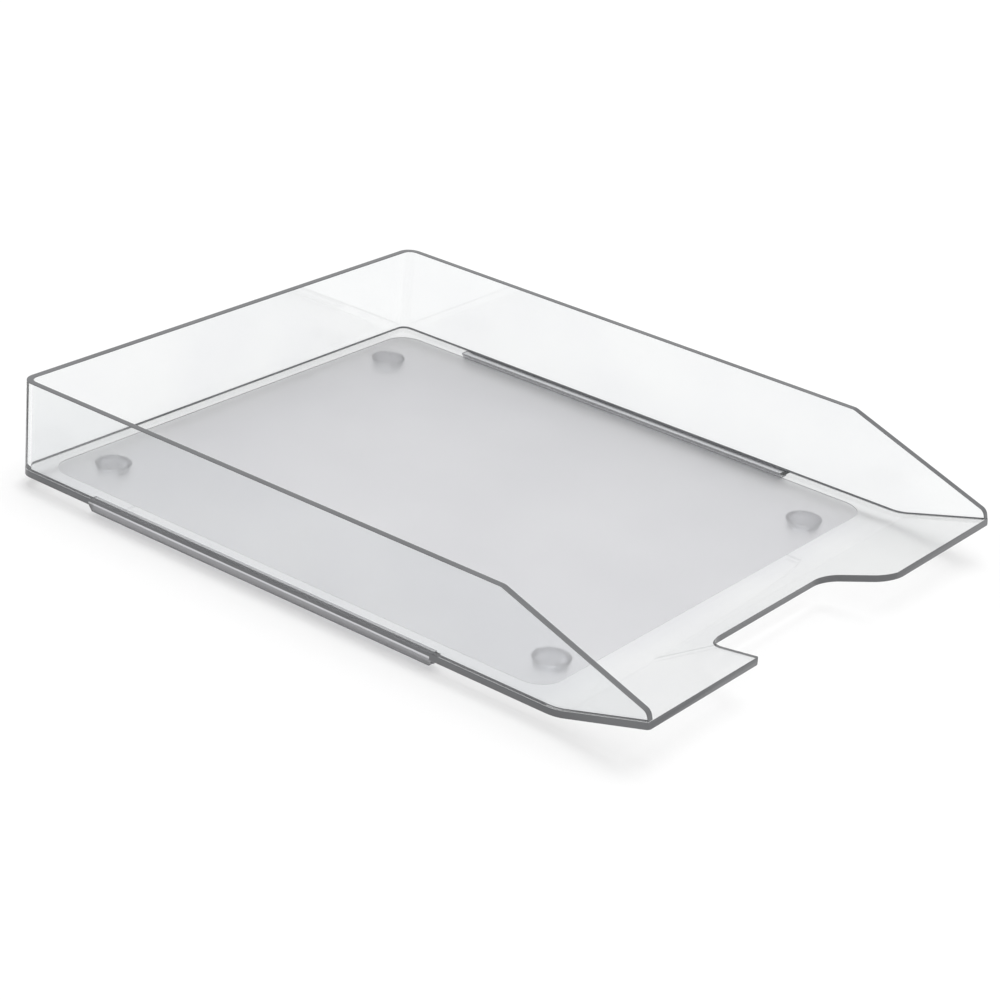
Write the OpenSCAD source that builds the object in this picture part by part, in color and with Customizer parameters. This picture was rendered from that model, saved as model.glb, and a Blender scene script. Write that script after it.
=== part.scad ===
// Clear letter tray for A4 and letter paper, made from polished acrylic sheet.
// The base sheet is line-bent up at the front into a low ramp with a finger notch.
// One strip of the same sheet, bent at the two back corners, makes the left, back
// and right walls and is bonded on top of the base along its outline. Two runners
// are let into the base's lower side edges, and four stick-on feet carry the tray.
// Origin: centre of the tray on the desk. +Z is up and the open front faces -Y.

/* [Tray] */
// Outside width
tray_w = 258; // [245:1:300]
// Outside depth, from the back wall to the front edge of the ramp
tray_d = 330; // [320:1:380]
// Height of the rim above the underside of the base sheet
rim_h = 43.5; // [38:0.5:70]
// Thickness of the base and wall sheet
sheet_t = 3; // [2.5:0.1:3.5]
// Outside radius of the two bent back corners
corner_r = 7; // [5:0.5:12]

/* [Ramp and wall fronts] */
// Depth of the ramp, from the bend line to the front edge
ramp_d = 42; // [38:1:50]
// Angle of the ramp
ramp_a = 16; // [12:1:20]
// Inside radius of the base's bend
bend_r = 30; // [10:1:40]
// Distance from the front edge to the start of the slope on the wall's rim
slope_d = 72; // [60:1:90]
// Height of the wall's front end above the ramp's upper face
wall_front_h = 4; // [3.5:0.1:8]
// Radius of the wall's front top corner
wall_front_r = 4; // [1:0.5:4]
// Radius where the rim turns down into the slope
rim_kink_r = 6; // [2:1:12]
// Radius of the ramp's two front corners, seen from above
lip_corner_r = 1.5; // [1:0.5:4]

/* [Finger notch] */
// Depth of the notch behind the front edge
notch_d = 29; // [22:0.5:30]
// Left end of the notch at its floor
notch_left_in = -47; // [-60:0.5:-40]
// Left end of the notch at the front edge
notch_left_out = -55.5; // [-70:0.5:-48]
// Right end of the notch at its floor
notch_right_in = 40.5; // [35:0.5:60]
// Right end of the notch at the front edge
notch_right_out = 47; // [40:0.5:75]
// Radius inside the notch's left corner
notch_left_r = 12; // [2:0.5:14]
// Radius of the tongue's tip beside the notch
tongue_r = 2; // [1:0.5:4]
// Radius inside the notch's right corner
notch_right_r = 9; // [4:0.5:14]
// Radius of the curve from the notch's right side to the front edge
notch_round_r = 10.5; // [4:0.5:14]

/* [Satin field] */
// Distance from the side edges to the field
field_side = 10.5; // [6:0.5:14]
// Distance from the back edge to the field
field_back = 8.5; // [7:0.5:14]
// Distance from the ramp's bend line to the field
field_front = 12; // [8:1:30]
// Corner radius of the field
field_r = 11; // [4:1:15]
// Depth of the field below the base's upper face
field_depth = 0.2; // [0.1:0.1:0.4]

/* [Runners] */
// Length of a runner
runner_l = 185; // [150:5:200]
// Distance from the back edge to a runner's rear end
runner_back = 42.5; // [35:0.5:50]
// Width of a runner
runner_w = 6; // [5:0.5:8]
// Height of the rebate in the base that takes a runner
rebate_h = 1.5; // [0.6:0.1:1.5]
// Drop of a runner's seat, which stands on the rim of a tray below
seat_drop = 2.6; // [2:0.1:3]
// Further drop of the lip that hangs inside the rim below
lip_drop = 0.8; // [0.4:0.1:1.2]
// Side play between that lip and the rim
stack_play = 0.4; // [0.2:0.1:0.8]
// Length of the slope on a runner's rear end
lead_in = 3; // [1:0.5:5]
// Radius of the fillet of cement at a runner's front end
fillet_r = 2.2; // [0.5:0.1:2.2]

/* [Feet] */
// Diameter of a foot
foot_dia = 16; // [12:0.5:18]
// Height of the tray's underside above the desk
foot_h = 5; // [4.4:0.1:6.5]
// Distance of the foot centres from the middle, left and right
foot_x = 92; // [60:1:100]
// Distance of the rear foot centres from the back edge
foot_back = 21.5; // [18:0.5:40]
// Distance of the front foot centres from the front edge
foot_front = 70; // [65:1:90]
// Thickness of a foot's adhesive disc
adhesive_t = 0.2; // [0.1:0.1:0.3]

/* [Hidden] */
$fn = 96;
arc_steps = 10;
side = tray_w / 2;
back = tray_d / 2;
front = -back;
bend_line = front + ramp_d;
// The bend's arcs share one centre above the base, ahead of which the ramp starts.
bend_out = bend_r + sheet_t;
bend_y = bend_line + bend_out * tan(ramp_a / 2);
bend_z = sheet_t + bend_r;
ramp_l = ramp_d / cos(ramp_a) - bend_out * tan(ramp_a / 2);
notch_y = front + notch_d;
lip_w = runner_w - sheet_t - stack_play;
foot_under_r = foot_dia / 2 - 0.8;
over = 1;
clear_acrylic = [0.90, 0.93, 0.95, 0.45];
runner_acrylic = [0.70, 0.72, 0.75, 0.75];
clear_rubber = [0.82, 0.84, 0.87, 0.80];
adhesive_film = [0.94, 0.94, 0.96, 0.85];

function unit(v) = v / norm(v);
function xy(p) = [p[0], p[1]];

// Directions from corner i of an outline towards the corner before it and the one after.
function arm_back(corners, i) =
    unit(xy(corners[(i + len(corners) - 1) % len(corners)]) - xy(corners[i]));
function arm_on(corners, i) =
    unit(xy(corners[(i + 1) % len(corners)]) - xy(corners[i]));
function half_angle(corners, i) = acos(arm_back(corners, i) * arm_on(corners, i)) / 2;
function is_square(corners, i) = abs(arm_back(corners, i) * arm_on(corners, i)) < 0.001;

// Where the two sides next to corner i meet its arc, the arc's centre and its points.
function arc_ends(corners, i) = let (reach = corners[i][2] / tan(half_angle(corners, i)))
    [xy(corners[i]) + arm_back(corners, i) * reach, xy(corners[i]) + arm_on(corners, i) * reach];
function arc_centre(corners, i) = xy(corners[i])
    + unit(arm_back(corners, i) + arm_on(corners, i)) * corners[i][2] / sin(half_angle(corners, i));
function bearing(v) = atan2(v[1], v[0]);
function arc_points(corners, i) =
    let (c = arc_centre(corners, i),
         from = bearing(arc_ends(corners, i)[0] - c),
         turn = (bearing(arc_ends(corners, i)[1] - c) - from + 540) % 360 - 180)
    [for (k = [0 : arc_steps])
        let (b = from + turn * k / arc_steps) c + corners[i][2] * [cos(b), sin(b)]];

// A flat outline from corners [x, y, radius], listed anticlockwise. Square corners,
// which all point outwards, get true arcs. Slanted ones get a chain of short chords.
module rounded(corners) {
    all = [0 : len(corners) - 1];
    difference() {
        polygon([for (i = all) each corners[i][2] > 0 && !is_square(corners, i)
            ? arc_points(corners, i) : [xy(corners[i])]]);
        for (i = all)
            if (corners[i][2] > 0 && is_square(corners, i)) corner_sliver(corners, i);
    }
}

// The piece between a square corner and the arc that rounds it.
module corner_sliver(corners, i) {
    ends = arc_ends(corners, i);
    centre = arc_centre(corners, i);
    tip = xy(corners[i]) + unit(xy(corners[i]) - centre) * 0.5;
    difference() {
        polygon([ends[0], tip, ends[1]]);
        translate(centre) circle(corners[i][2]);
    }
}

// Turns an outline drawn in Y and Z into a bar across the tray.
module across(width) {
    rotate([90, 0, 90]) linear_extrude(width, center = true) children();
}

// The tray's outline seen from above.
module plan_outline() {
    rounded([
        [-side, back, corner_r],
        [-side, front, lip_corner_r],
        [notch_left_out, front, tongue_r],
        [notch_left_in, notch_y, notch_left_r],
        [notch_right_in, notch_y, notch_right_r],
        [notch_right_out, front, notch_round_r],
        [side, front, lip_corner_r],
        [side, back, corner_r]
    ]);
}

// A point on the ramp: r from the bend's axis and s forward of the bend's end.
function ramp_point(r, s) = [
    bend_y - r * sin(ramp_a) - s * cos(ramp_a),
    bend_z - r * cos(ramp_a) + s * sin(ramp_a)
];

// Everything below the face that lies r from the bend's axis, seen from the side,
// as far as s along the ramp.
module below_face(r, s) {
    polygon([
        [back + over, -bend_out],
        [back + over, bend_z - r],
        for (k = [0 : arc_steps]) let (b = ramp_a * k / arc_steps)
            [bend_y - r * sin(b), bend_z - r * cos(b)],
        ramp_point(r, s),
        ramp_point(2 * bend_out, s)
    ]);
}

// The bent sheet seen from the side: flat floor, bend and ramp, cut square at the front.
module bent_sheet_side() {
    difference() {
        below_face(bend_r, ramp_l);
        below_face(bend_out, ramp_l + over);
    }
}

// The side wall's shape: level rim, slope down to the front, short rounded front end.
module wall_side() {
    front_top = ramp_point(bend_r - wall_front_h, ramp_l);
    front_low = ramp_point(bend_out, ramp_l);
    difference() {
        rounded([
            [back + over, -over, 0],
            [back + over, rim_h, 0],
            [front + slope_d, rim_h, rim_kink_r],
            [front_top[0], front_top[1], wall_front_r],
            [front_low[0], front_low[1], 0],
            [bend_y, -over, 0]
        ]);
        below_face(bend_r, 2 * ramp_l);
    }
}

// The base: one bent sheet with the notch, the satin field and the runner rebates.
module base_sheet() {
    color(clear_acrylic) difference() {
        intersection() {
            translate([0, 0, foot_h]) across(tray_w + 2 * over) bent_sheet_side();
            linear_extrude(rim_h + foot_h) plan_outline();
        }
        translate([0, 0, foot_h + sheet_t - field_depth])
            linear_extrude(over) satin_field();
        for (s = [-1, 1])
            translate([s * (side - runner_w / 2 + over / 2), back - runner_back - runner_l / 2, foot_h])
                cube([runner_w + over, runner_l, 2 * rebate_h], center = true);
    }
}

module satin_field() {
    x = side - field_side;
    y_back = back - field_back;
    y_front = bend_line + field_front;
    rounded([
        [-x, y_back, field_r],
        [-x, y_front, field_r],
        [x, y_front, field_r],
        [x, y_back, field_r]
    ]);
}

// The walls: one strip bent round both back corners and bonded on top of the base.
module wall_band() {
    in = sheet_t;
    color(clear_acrylic) intersection() {
        translate([0, 0, foot_h]) across(tray_w + 2 * over) wall_side();
        linear_extrude(rim_h + foot_h) difference() {
            rounded([
                [-side, back, corner_r],
                [-side, front - over, 0],
                [side, front - over, 0],
                [side, back, corner_r]
            ]);
            rounded([
                [-side + in, back - in, corner_r - in],
                [-side + in, front - 2 * over, 0],
                [side - in, front - 2 * over, 0],
                [side - in, back - in, corner_r - in]
            ]);
        }
    }
}

// A runner for the right side: a flush seat with a lip set in by the rim's thickness.
// Its rear end is sloped as a lead-in, and its square front end has a cement fillet.
module runner() {
    drop = seat_drop + lip_drop;
    y_back = back - runner_back;
    y_front = y_back - runner_l;
    color(runner_acrylic) translate([0, 0, foot_h]) intersection() {
        rotate([90, 0, 0]) translate([0, 0, -back]) linear_extrude(tray_d) rounded([
            [side - runner_w, rebate_h, 0],
            [side - runner_w, -drop, 0.4],
            [side - runner_w + lip_w, -drop, 0.4],
            [side - runner_w + lip_w, -seat_drop, 0],
            [side, -seat_drop, 0.3],
            [side, rebate_h, 0]
        ]);
        translate([side, 0, 0]) across(2 * runner_w + over) rounded([
            [y_front, rebate_h, 0],
            [y_front, 0, 0],
            for (k = [0 : arc_steps]) let (b = 90 * k / arc_steps)
                [y_front - fillet_r * (1 - sin(b)), -fillet_r * (1 - cos(b)), 0],
            [y_front, -drop, 0.8],
            [y_back - lead_in, -drop, 0.6],
            [y_back, 0, 0],
            [y_back, rebate_h, 0]
        ]);
    }
}

module left_runner() { mirror([1, 0, 0]) runner(); }
module right_runner() { runner(); }

// Places a foot part under one corner: sx is -1 left or 1 right, rear is true or false.
module at_foot(sx, rear) {
    translate([sx * foot_x, rear ? back - foot_back : front + foot_front, 0]) children();
}

// A clear bumper with a slight taper and a rounded lower edge.
module foot() {
    color(clear_rubber) rotate_extrude() rounded([
        [0, foot_h - adhesive_t, 0],
        [0, 0, 0],
        [foot_under_r, 0, 2],
        [foot_dia / 2, foot_h - adhesive_t, 0.3]
    ]);
}

// The thin disc that sticks a foot to the base's underside.
module adhesive() {
    color(adhesive_film) translate([0, 0, foot_h - adhesive_t])
        cylinder(r = foot_dia / 2 - 0.4, h = adhesive_t);
}

base_sheet();
wall_band();
left_runner();
right_runner();
at_foot(-1, true) foot();  // rear_left_foot
at_foot(1, true) foot();  // rear_right_foot
at_foot(-1, false) foot();  // front_left_foot
at_foot(1, false) foot();  // front_right_foot
at_foot(-1, true) adhesive();  // rear_left_foot_adhesive
at_foot(1, true) adhesive();  // rear_right_foot_adhesive
at_foot(-1, false) adhesive();  // front_left_foot_adhesive
at_foot(1, false) adhesive();  // front_right_foot_adhesive
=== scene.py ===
"""Looks of the clear letter tray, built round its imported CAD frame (Blender 4.5).

All places are in metres unless a name or comment says millimetres. The origin is the
middle of the tray on the desk, +Z is up, the open front faces -Y and the left is -X.
"""

import math

import bmesh
import bpy
from mathutils import Matrix, Vector


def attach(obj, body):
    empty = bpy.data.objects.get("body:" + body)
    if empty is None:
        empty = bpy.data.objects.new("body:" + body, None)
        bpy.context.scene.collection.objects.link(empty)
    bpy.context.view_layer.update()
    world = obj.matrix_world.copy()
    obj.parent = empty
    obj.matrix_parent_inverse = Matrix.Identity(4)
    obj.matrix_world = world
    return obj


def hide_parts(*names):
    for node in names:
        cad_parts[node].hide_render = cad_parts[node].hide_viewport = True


MM = 0.001

# Sizes repeated from the part's source, in millimetres.
SIDE = 129.0
FOOT_HEIGHT = 5.0
SHEET = 3.0
FLOOR = FOOT_HEIGHT + SHEET
FIELD_DEPTH = 0.2
FIELD_FLOOR = FLOOR - FIELD_DEPTH
RUNNER_WIDTH = 6.0
RAMP_ANGLE = 16.0
FOOT_RADIUS = 8.0
FOOT_UNDER_RADIUS = 7.2
FOOT_X = 92.0
FOOT_REAR_Y = 143.5
FOOT_FRONT_Y = -95.0
FILM = 0.2

# Finishing sizes that the CAD leaves out, in millimetres.
ARRIS = 0.3
HAIRLINE = 0.01
FOOT_TOP_ROUND = 0.35
FOOT_TOP_FLAT = FOOT_RADIUS - 0.9
FOOT_UNDER_ROUND = 2.0
FILM_RADIUS = FOOT_RADIUS - 0.4
FILM_ARRIS = 0.05

# Places in a sheet's list of materials.
ON_FACE = 0
ON_EDGE = 1
ON_SATIN = 2

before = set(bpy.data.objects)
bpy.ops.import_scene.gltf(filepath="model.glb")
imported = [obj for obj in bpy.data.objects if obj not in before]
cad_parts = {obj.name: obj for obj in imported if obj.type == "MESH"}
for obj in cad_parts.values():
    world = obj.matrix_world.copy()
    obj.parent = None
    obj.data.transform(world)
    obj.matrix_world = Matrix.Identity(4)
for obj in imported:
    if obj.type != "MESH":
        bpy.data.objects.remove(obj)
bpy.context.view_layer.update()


# ---------------------------------------------------------------- node helpers


def linear(hex_colour):
    """An sRGB hex colour as linear red, green, blue and 1."""
    parts = [int(hex_colour[i:i + 2], 16) / 255 for i in (1, 3, 5)]
    made = [c / 12.92 if c <= 0.04045 else ((c + 0.055) / 1.055) ** 2.4 for c in parts]
    return (*made, 1.0)


def per(size_mm):
    """The scale that makes a pattern repeat about every size_mm on Object coordinates."""
    return 1.0 / (size_mm * MM)


def add(tree, kind, inputs=None, **settings):
    """Adds one node, sets it up, and gives its inputs values or links."""
    made = tree.nodes.new(kind)
    for name, value in settings.items():
        setattr(made, name, value)
    for socket, value in (inputs or {}).items():
        if isinstance(value, bpy.types.NodeSocket):
            tree.links.new(value, made.inputs[socket])
        else:
            made.inputs[socket].default_value = value
    return made


def new_material(name):
    """An empty node material and its tree."""
    material = bpy.data.materials.new(name)
    material.use_nodes = True
    material.node_tree.nodes.clear()
    return material, material.node_tree


def let_lamps_through(tree, shader, shade):
    """Ends a see-through material: lamp light crosses it unbent, dimmed to shade."""
    path = add(tree, "ShaderNodeLightPath")
    open_way = add(tree, "ShaderNodeBsdfTransparent", {"Color": linear(shade)})
    bounced = add(tree, "ShaderNodeMixShader", {
        0: path.outputs["Is Diffuse Ray"], 1: shader, 2: open_way.outputs[0]})
    lit = add(tree, "ShaderNodeMixShader", {
        0: path.outputs["Is Shadow Ray"], 1: bounced.outputs[0], 2: open_way.outputs[0]})
    add(tree, "ShaderNodeOutputMaterial", {"Surface": lit.outputs[0]})


# ------------------------------------------------------------------- materials


def polished_acrylic_face():
    """Cast acrylic (PMMA) sheet, its faces as they left the glass mould.

    It gives the eye a nearly invisible pane: a faint cool grey, sharp reflections at a
    slant, and a very slow waviness that bends them a little.
    """
    material, tree = new_material("polished_acrylic_face")
    place = add(tree, "ShaderNodeTexCoord")
    wave = add(tree, "ShaderNodeTexNoise", {
        "Vector": place.outputs["Object"], "Scale": per(90), "Detail": 1.0})
    ripple = add(tree, "ShaderNodeBump", {
        "Height": wave.outputs[0], "Strength": 0.05, "Distance": 0.4 * MM})
    haze = add(tree, "ShaderNodeTexNoise", {
        "Vector": place.outputs["Object"], "Scale": per(60), "Detail": 3.0})
    tint = add(tree, "ShaderNodeValToRGB", {"Fac": haze.outputs[0]})
    tint.color_ramp.elements[0].position = 0.35
    tint.color_ramp.elements[0].color = linear("#f3f4f5")
    tint.color_ramp.elements[1].position = 0.65
    tint.color_ramp.elements[1].color = linear("#f7f8f8")
    pane = add(tree, "ShaderNodeBsdfPrincipled", {
        "Base Color": tint.outputs[0], "Roughness": 0.0, "IOR": 1.49,
        "Transmission Weight": 1.0, "Normal": ripple.outputs[0]})
    let_lamps_through(tree, pane.outputs[0], "#fcfcfc")
    return material


def flame_polished_edge_painted_light():
    """The sheet's cut edge, milled and then flame-polished.

    Light that has crossed the whole sheet comes out here. That light is painted on as an
    opaque mid grey band, a little uneven along its length where the piped light varies;
    the cutter's fine marks are only in its bump.
    """
    material, tree = new_material("flame_polished_edge_painted_light")
    place = add(tree, "ShaderNodeTexCoord")
    piped = add(tree, "ShaderNodeTexNoise", {
        "Vector": place.outputs["Object"], "Scale": per(35), "Detail": 2.0})
    # The grey is painted light: the light piped through the sheet, painted as an opaque
    # colour.
    grey = add(tree, "ShaderNodeValToRGB", {"Fac": piped.outputs[0]})
    grey.color_ramp.elements[0].position = 0.3
    grey.color_ramp.elements[0].color = linear("#636466")
    grey.color_ramp.elements[1].position = 0.7
    grey.color_ramp.elements[1].color = linear("#6e6f71")
    marks = add(tree, "ShaderNodeTexNoise", {
        "Vector": place.outputs["Object"], "Scale": per(1.2), "Detail": 2.0})
    ripple = add(tree, "ShaderNodeBump", {
        "Height": marks.outputs[0], "Strength": 0.15, "Distance": 0.03 * MM})
    edge = add(tree, "ShaderNodeBsdfPrincipled", {
        "Base Color": grey.outputs[0], "Roughness": 0.18, "IOR": 1.49,
        "Normal": ripple.outputs[0]})
    add(tree, "ShaderNodeOutputMaterial", {"Surface": edge.outputs[0]})
    return material


def etched_satin_face():
    """The floor's etched field, which keeps paper from clinging to the sheet.

    It gives the eye a soft, even, faintly cool grey that blurs what lies under it,
    with an etch grain finer than can show, drawn here at 0.8 mm.
    """
    material, tree = new_material("etched_satin_face")
    place = add(tree, "ShaderNodeTexCoord")
    cloud = add(tree, "ShaderNodeTexNoise", {
        "Vector": place.outputs["Object"], "Scale": per(70), "Detail": 2.0})
    tint = add(tree, "ShaderNodeValToRGB", {"Fac": cloud.outputs[0]})
    tint.color_ramp.elements[0].position = 0.3
    tint.color_ramp.elements[0].color = linear("#e2e2e4")
    tint.color_ramp.elements[1].position = 0.7
    tint.color_ramp.elements[1].color = linear("#e8e8ea")
    grain = add(tree, "ShaderNodeTexNoise", {
        "Vector": place.outputs["Object"], "Scale": per(0.8), "Detail": 2.0})
    tooth = add(tree, "ShaderNodeBump", {
        "Height": grain.outputs[0], "Strength": 0.25, "Distance": 0.02 * MM})
    satin = add(tree, "ShaderNodeBsdfPrincipled", {
        "Base Color": tint.outputs[0], "Roughness": 0.3, "IOR": 1.49,
        "Transmission Weight": 1.0, "Normal": tooth.outputs[0]})
    let_lamps_through(tree, satin.outputs[0], "#f4f4f6")
    return material


def extruded_runner():
    """Extruded acrylic strip, let into the base's underside.

    Its sawn outer flank is painted with light and shade: a painted highlight as a pale
    line next to the sheet, a painted mid grey band for the light piped through the strip,
    and painted shade as a dark line along the lip. The rest is as clear as the sheet, with
    fine draw lines.
    """
    material, tree = new_material("runner_acrylic_painted_flank_light")
    place = add(tree, "ShaderNodeTexCoord")
    along = add(tree, "ShaderNodeMapping", {
        "Vector": place.outputs["Object"], "Scale": (1.0, 0.02, 1.0)})
    lines = add(tree, "ShaderNodeTexNoise", {
        "Vector": along.outputs[0], "Scale": per(1.0), "Detail": 2.0})
    parts = add(tree, "ShaderNodeSeparateXYZ", {"Vector": place.outputs["Object"]})
    rise = add(tree, "ShaderNodeMapRange", {
        "Value": parts.outputs["Z"], "From Min": 2.0 * MM, "From Max": 7.0 * MM})
    uneven = add(tree, "ShaderNodeMath", {
        0: lines.outputs[0], 1: 0.12, 2: rise.outputs[0]}, operation="MULTIPLY_ADD")
    # Painted light up the flank: painted shade at the lip, a painted grey band for piped
    # light, a painted highlight at the top.
    tint = add(tree, "ShaderNodeValToRGB", {"Fac": uneven.outputs[0]})
    stops = tint.color_ramp.elements
    stops[0].position = 0.24
    stops[0].color = linear("#5c5d60")
    stops[1].position = 0.84
    stops[1].color = linear("#d6d6d9")
    stops.new(0.30).color = linear("#7b7b7d")
    stops.new(0.76).color = linear("#8f8f91")
    reach = add(tree, "ShaderNodeMath", {0: parts.outputs["X"]}, operation="ABSOLUTE")
    flank = add(tree, "ShaderNodeMapRange", {
        "Value": reach.outputs[0], "From Min": (SIDE - 1.5) * MM,
        "From Max": (SIDE - 0.3) * MM})
    colour = add(tree, "ShaderNodeMix", {
        0: flank.outputs[0], 6: linear("#e4e4e7"), 7: tint.outputs[0]},
        data_type="RGBA")
    clarity = add(tree, "ShaderNodeMapRange", {
        "Value": flank.outputs[0], "To Min": 1.0, "To Max": 0.35})
    drawn = add(tree, "ShaderNodeBump", {
        "Height": lines.outputs[0], "Strength": 0.2, "Distance": 0.04 * MM})
    strip = add(tree, "ShaderNodeBsdfPrincipled", {
        "Base Color": colour.outputs[2], "Roughness": 0.1, "IOR": 1.49,
        "Transmission Weight": clarity.outputs[0], "Normal": drawn.outputs[0]})
    let_lamps_through(tree, strip.outputs[0], "#eeeeef")
    return material


def clear_bumper_rubber_painted_shade():
    """Moulded clear polyurethane, as in stick-on bumpers.

    It gives the eye a soft, slightly cloudy disc inside a side wall painted greyer:
    painted shade for the dark rim that the rounded side shows.
    """
    material, tree = new_material("clear_bumper_rubber_painted_shade")
    place = add(tree, "ShaderNodeTexCoord")
    cloud = add(tree, "ShaderNodeTexNoise", {
        "Vector": place.outputs["Object"], "Scale": per(5), "Detail": 3.0})
    parts = add(tree, "ShaderNodeSeparateXYZ", {"Vector": place.outputs["Object"]})
    rise = add(tree, "ShaderNodeMapRange", {
        "Value": parts.outputs["Z"], "From Min": 0.0, "From Max": 5.0 * MM})
    uneven = add(tree, "ShaderNodeMath", {
        0: cloud.outputs[0], 1: 0.06, 2: rise.outputs[0]}, operation="MULTIPLY_ADD")
    # The grey middle of this ramp is painted shade on the side wall; the top and bottom
    # stay near white.
    tint = add(tree, "ShaderNodeValToRGB", {"Fac": uneven.outputs[0]})
    stops = tint.color_ramp.elements
    stops[0].position = 0.05
    stops[0].color = linear("#fefefe")
    stops[1].position = 0.96
    stops[1].color = linear("#fbfbfb")
    stops.new(0.12).color = linear("#c6c7c9")
    stops.new(0.90).color = linear("#cecfd1")
    skin = add(tree, "ShaderNodeBump", {
        "Height": cloud.outputs[0], "Strength": 0.1, "Distance": 0.05 * MM})
    rubber = add(tree, "ShaderNodeBsdfPrincipled", {
        "Base Color": tint.outputs[0], "Roughness": 0.12, "IOR": 1.5,
        "Transmission Weight": 0.97, "Normal": skin.outputs[0]})
    let_lamps_through(tree, rubber.outputs[0], "#fefefe")
    return material


def clear_adhesive_film():
    """Acrylic transfer adhesive, pressed between a foot and the sheet.

    It gives the eye a hazy disc with a few small trapped bubbles.
    """
    material, tree = new_material("clear_adhesive_film")
    place = add(tree, "ShaderNodeTexCoord")
    bubbles = add(tree, "ShaderNodeTexVoronoi", {
        "Vector": place.outputs["Object"], "Scale": per(1.6)})
    tint = add(tree, "ShaderNodeValToRGB", {"Fac": bubbles.outputs["Distance"]})
    tint.color_ramp.elements[0].position = 0.08
    tint.color_ramp.elements[0].color = linear("#fbfbfb")
    tint.color_ramp.elements[1].position = 0.2
    tint.color_ramp.elements[1].color = linear("#f3f3f5")
    film = add(tree, "ShaderNodeBsdfPrincipled", {
        "Base Color": tint.outputs[0], "Roughness": 0.25, "IOR": 1.47,
        "Transmission Weight": 1.0})
    let_lamps_through(tree, film.outputs[0], "#fefefe")
    return material


FACE = polished_acrylic_face()
EDGE = flame_polished_edge_painted_light()
SATIN = etched_satin_face()
RUNNER = extruded_runner()
RUBBER = clear_bumper_rubber_painted_shade()
ADHESIVE = clear_adhesive_film()


# -------------------------------------------------------------- sheet and strips


def finish_piece(obj, slot, *nodes):
    """Makes obj stand for CAD nodes, on the tray's one body."""
    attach(obj, "root")
    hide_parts(*nodes)


def is_flat(normal):
    """True on the sheet's flats: level, square upright or on the ramp."""
    lean = math.radians(RAMP_ANGLE)
    ramp = Vector((0, math.sin(lean), math.cos(lean)))
    return max(*map(abs, normal), abs(normal.dot(ramp))) > 0.99995


def piece_from_node(node, name, materials, choose, arris):
    """A piece on a CAD node's own shape, its flats joined up.

    choose(normal, middle in millimetres) gives each face's place in materials. Flats
    keep their one exact normal, because a bent normal bends what shows through. Sharp
    edges are broken in the cut edges' material by at most arris millimetres, unless it
    is 0. Blender narrows that where short edges leave no room: to about 0.02 on the base.
    """
    shape = bmesh.new()
    shape.from_mesh(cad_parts[node].data)
    bmesh.ops.remove_doubles(shape, verts=shape.verts, dist=0.002 * MM)
    bmesh.ops.dissolve_limit(
        shape, angle_limit=math.radians(0.2), verts=shape.verts, edges=shape.edges)
    for face in shape.faces:
        face.material_index = choose(face.normal, face.calc_center_median() / MM)
    mesh = bpy.data.meshes.new(name)
    shape.to_mesh(mesh)
    shape.free()
    for material in materials:
        mesh.materials.append(material)
    piece = bpy.data.objects.new(name, mesh)
    bpy.context.scene.collection.objects.link(piece)
    mesh.set_sharp_from_angle(angle=math.radians(35))
    for polygon in mesh.polygons:
        polygon.use_smooth = not is_flat(polygon.normal)
    if arris > 0:
        broken = piece.modifiers.new("arris", "BEVEL")
        broken.width = arris * MM
        broken.segments = 2
        broken.limit_method = "ANGLE"
        broken.angle_limit = math.radians(50)
        broken.material = ON_EDGE
    return piece


def base_finish(normal, middle):
    """Upright faces are cut edges, and the field's floor is etched."""
    if abs(normal.z) < 0.9:
        return ON_EDGE
    etched = normal.z > 0 and abs(middle.z - FIELD_FLOOR) < 0.02
    return ON_SATIN if etched else ON_FACE


def wall_finish(normal, middle):
    """The rim, the front ends and the bonded foot are cut edges."""
    front_end = normal.y < -0.5 and middle.y < 0
    return ON_EDGE if front_end or abs(normal.z) > 0.2 else ON_FACE


def runner_finish(normal, middle):
    """A runner has one material."""
    return ON_FACE


base = piece_from_node(
    "base_sheet", "bent_base_sheet", (FACE, EDGE, SATIN), base_finish, ARRIS)
walls = piece_from_node(
    "wall_band", "bent_wall_strip", (FACE, EDGE), wall_finish, ARRIS)
finish_piece(base, "clear_acrylic", "base_sheet")
finish_piece(walls, "clear_acrylic", "wall_band")

for which in ("left", "right"):
    runner = piece_from_node(
        which + "_runner", which + "_stacking_runner", (RUNNER,), runner_finish, 0)
    # A hairline of air keeps its faces off the rebate's.
    for vertex in runner.data.vertices:
        if vertex.co.z > FOOT_HEIGHT * MM + HAIRLINE * MM:
            vertex.co.z -= HAIRLINE * MM
            if abs(vertex.co.x) < (SIDE - RUNNER_WIDTH / 2) * MM:
                vertex.co.x += math.copysign(HAIRLINE * MM, vertex.co.x)
    finish_piece(runner, "runner_acrylic", which + "_runner")


# -------------------------------------------------------------------------- feet


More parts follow.
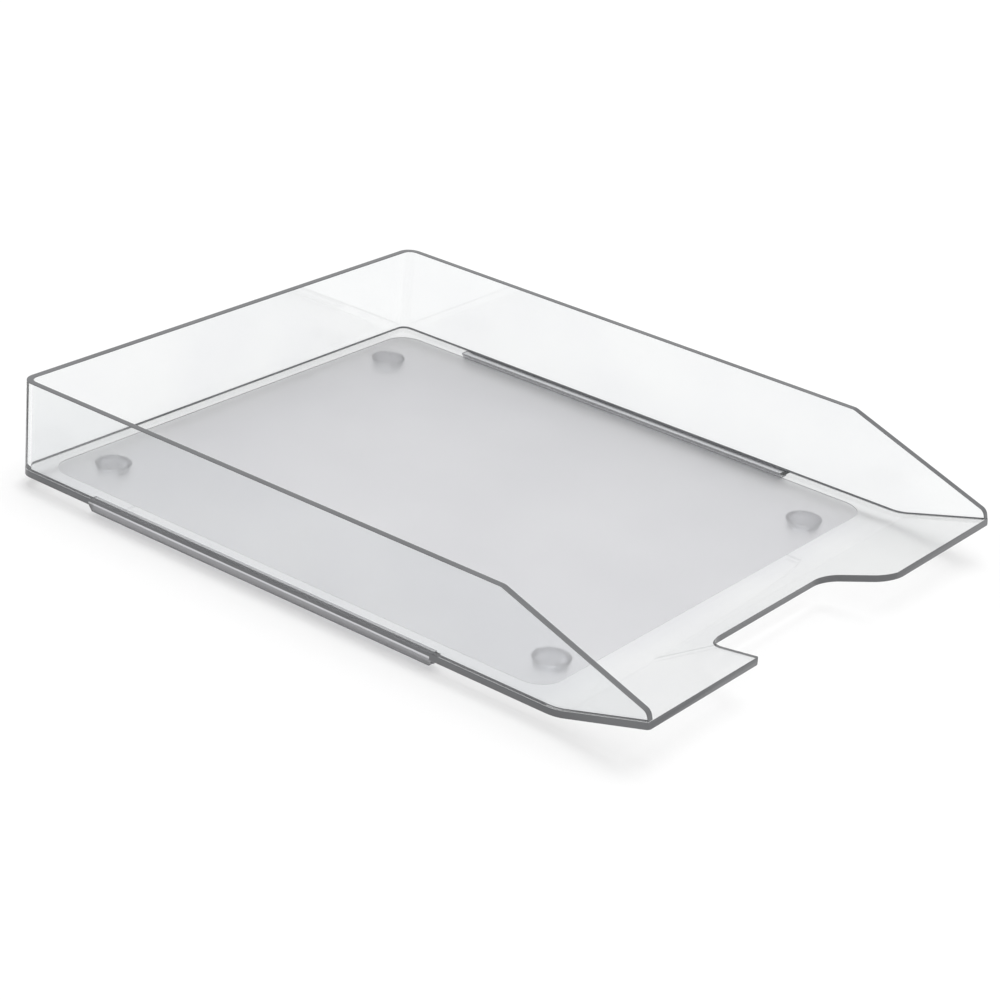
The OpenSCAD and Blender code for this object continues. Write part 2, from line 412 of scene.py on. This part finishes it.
def lathe(name, profile, sides=72):
    """A closed turned shape from [radius, height] pairs in millimetres, from the axis
    at the top, down the outside, to the axis at the bottom."""
    shape = bmesh.new()
    rings = []
    for radius, height in profile:
        if radius == 0:
            rings.append([shape.verts.new((0, 0, height * MM))])
            continue
        ring = []
        for i in range(sides):
            turn = 2 * math.pi * i / sides
            ring.append(shape.verts.new((
                radius * math.cos(turn) * MM, radius * math.sin(turn) * MM, height * MM)))
        rings.append(ring)
    for upper, lower in zip(rings, rings[1:]):
        for i in range(sides):
            j = (i + 1) % sides
            if len(upper) == 1:
                shape.faces.new((upper[0], lower[i], lower[j]))
            elif len(lower) == 1:
                shape.faces.new((upper[i], lower[0], upper[j]))
            else:
                shape.faces.new((upper[i], lower[i], lower[j], upper[j]))
    bmesh.ops.recalc_face_normals(shape, faces=shape.faces)
    for face in shape.faces:
        face.smooth = True
    mesh = bpy.data.meshes.new(name)
    shape.to_mesh(mesh)
    shape.free()
    mesh.set_sharp_from_angle(angle=math.radians(40))
    return bpy.data.objects.new(name, mesh)


def rounded_rim(radius, height, r, start, stop, steps=8):
    """Points on a rounded corner whose arc has its centre at (radius, height)."""
    found = []
    for i in range(steps + 1):
        turn = math.radians(start + (stop - start) * i / steps)
        found.append((radius + r * math.cos(turn), height + r * math.sin(turn)))
    return found


def four_corners_tree():
    """Sets one shape under each corner of the tray."""
    tree = bpy.data.node_groups.new("four_corners", "GeometryNodeTree")
    sockets = tree.interface
    sockets.new_socket("Shape", in_out="INPUT", socket_type="NodeSocketObject")
    sockets.new_socket("Finish", in_out="INPUT", socket_type="NodeSocketMaterial")
    for name in ("Across", "Along", "Middle"):
        sockets.new_socket(name, in_out="INPUT", socket_type="NodeSocketFloat")
    sockets.new_socket("Geometry", in_out="OUTPUT", socket_type="NodeSocketGeometry")
    given = add(tree, "NodeGroupInput")
    corners = add(tree, "GeometryNodeMeshGrid", {
        "Size X": given.outputs["Across"], "Size Y": given.outputs["Along"],
        "Vertices X": 2, "Vertices Y": 2})
    offset = add(tree, "ShaderNodeCombineXYZ", {"Y": given.outputs["Middle"]})
    placed = add(tree, "GeometryNodeSetPosition", {
        "Geometry": corners.outputs["Mesh"], "Offset": offset.outputs[0]})
    shape = add(tree, "GeometryNodeObjectInfo", {"Object": given.outputs["Shape"]})
    copies = add(tree, "GeometryNodeInstanceOnPoints", {
        "Points": placed.outputs[0], "Instance": shape.outputs["Geometry"]})
    real = add(tree, "GeometryNodeRealizeInstances", {"Geometry": copies.outputs[0]})
    dressed = add(tree, "GeometryNodeSetMaterial", {
        "Geometry": real.outputs[0], "Material": given.outputs["Finish"]})
    add(tree, "NodeGroupOutput", {"Geometry": dressed.outputs[0]})
    return tree


CORNERS = four_corners_tree()


def under_corners(name, shape, finish):
    """A plain mesh piece with shape under each of the tray's four corners."""
    bpy.context.scene.collection.objects.link(shape)
    holder = bpy.data.objects.new(name + "_holder", bpy.data.meshes.new(name))
    bpy.context.scene.collection.objects.link(holder)
    modifier = holder.modifiers.new("corners", "NODES")
    modifier.node_group = CORNERS
    values = {
        "Shape": shape,
        "Finish": finish,
        "Across": 2 * FOOT_X * MM,
        "Along": (FOOT_REAR_Y - FOOT_FRONT_Y) * MM,
        "Middle": (FOOT_REAR_Y + FOOT_FRONT_Y) / 2 * MM,
    }
    for item in CORNERS.interface.items_tree:
        if item.in_out == "INPUT":
            modifier[item.identifier] = values[item.name]
    seen = bpy.context.evaluated_depsgraph_get()
    mesh = bpy.data.meshes.new_from_object(holder.evaluated_get(seen))
    mesh.name = name
    piece = bpy.data.objects.new(name, mesh)
    bpy.context.scene.collection.objects.link(piece)
    bpy.data.objects.remove(holder)
    bpy.data.objects.remove(shape)
    return piece


film_top = FOOT_HEIGHT - HAIRLINE
film_bottom = FOOT_HEIGHT - FILM
foot_top = film_bottom - HAIRLINE
foot_profile = [
    (0, foot_top),
    (FOOT_TOP_FLAT, foot_top),
    *rounded_rim(
        FOOT_RADIUS - FOOT_TOP_ROUND, foot_top - FOOT_TOP_ROUND, FOOT_TOP_ROUND, 90, -8),
    *rounded_rim(
        FOOT_UNDER_RADIUS - FOOT_UNDER_ROUND, FOOT_UNDER_ROUND, FOOT_UNDER_ROUND, -8, -90),
    (0, 0),
]
film_profile = [
    (0, film_top),
    (FILM_RADIUS - FILM_ARRIS, film_top),
    (FILM_RADIUS, film_top - FILM_ARRIS),
    (FILM_RADIUS, film_bottom + FILM_ARRIS),
    (FILM_RADIUS - FILM_ARRIS, film_bottom),
    (0, film_bottom),
]
feet = under_corners("bumper_feet", lathe("bumper_foot", foot_profile), RUBBER)
discs = under_corners("adhesive_discs", lathe("adhesive_disc", film_profile), ADHESIVE)
corner_names = ("rear_left", "rear_right", "front_left", "front_right")
finish_piece(feet, "clear_rubber", *[c + "_foot" for c in corner_names])
finish_piece(discs, "adhesive_film", *[c + "_foot_adhesive" for c in corner_names])


# ------------------------------------------------------------ floor, light, camera


def studio_floor():
    """A plain white floor, just under the feet."""
    material, tree = new_material("plain_white_floor")
    paint = add(tree, "ShaderNodeBsdfPrincipled", {
        "Base Color": linear("#f3f3f3"), "Roughness": 0.9, "Specular IOR Level": 0.0})
    add(tree, "ShaderNodeOutputMaterial", {"Surface": paint.outputs[0]})
    half = 6.0
    gap = 0.1 * MM
    mesh = bpy.data.meshes.new("studio_floor")
    corners = [(-half, -half, 0), (half, -half, 0), (half, half, 0), (-half, half, 0)]
    mesh.from_pydata(corners, [], [(0, 1, 2, 3)])
    mesh.materials.append(material)
    floor = bpy.data.objects.new("studio_floor", mesh)
    floor.location.z = -gap
    bpy.context.scene.collection.objects.link(floor)


def studio_light():
    """A pale surround and one broad lamp, almost overhead."""
    world = bpy.data.worlds.new("studio_surround")
    world.use_nodes = True
    tree = world.node_tree
    tree.nodes.clear()
    glow = add(tree, "ShaderNodeBackground", {"Color": linear("#ffffff"), "Strength": 0.8})
    add(tree, "ShaderNodeOutputWorld", {"Surface": glow.outputs[0]})
    bpy.context.scene.world = world
    lamp = bpy.data.lights.new("softbox", "SUN")
    lamp.energy = 1.2
    lamp.angle = math.radians(55)
    softbox = bpy.data.objects.new("softbox", lamp)
    towards_lamp = Vector((0.26, 0.05, 1.0))
    softbox.rotation_euler = towards_lamp.to_track_quat("Z", "Y").to_euler()
    bpy.context.scene.collection.objects.link(softbox)


def studio_camera():
    """A long lens at the tray's front left, rolled a little."""
    azimuth = math.radians(-55.196)
    elevation = math.radians(24.907)
    roll = math.radians(5.930)
    place = Vector((-0.86803, -0.61554, 0.50285))
    back = Vector((
        math.sin(azimuth) * math.cos(elevation),
        -math.cos(azimuth) * math.cos(elevation),
        math.sin(elevation)))
    right = Vector((0, 0, 1)).cross(back).normalized()
    above = back.cross(right)
    across = math.cos(roll) * right + math.sin(roll) * above
    upward = math.cos(roll) * above - math.sin(roll) * right
    lens = bpy.data.cameras.new("camera")
    lens.sensor_width = 36.0
    lens.lens = 97.90
    lens.shift_x = -0.0292
    lens.shift_y = 0.0057
    lens.clip_start = 0.05
    lens.clip_end = 50.0
    camera = bpy.data.objects.new("camera", lens)
    turned = Matrix((across, upward, back)).transposed().to_4x4()
    camera.matrix_world = Matrix.Translation(place) @ turned
    bpy.context.scene.collection.objects.link(camera)
    bpy.context.scene.camera = camera


studio_floor()
studio_light()
studio_camera()
bpy.context.scene.view_settings.view_transform = "Standard"

bpy.context.view_layer.update()
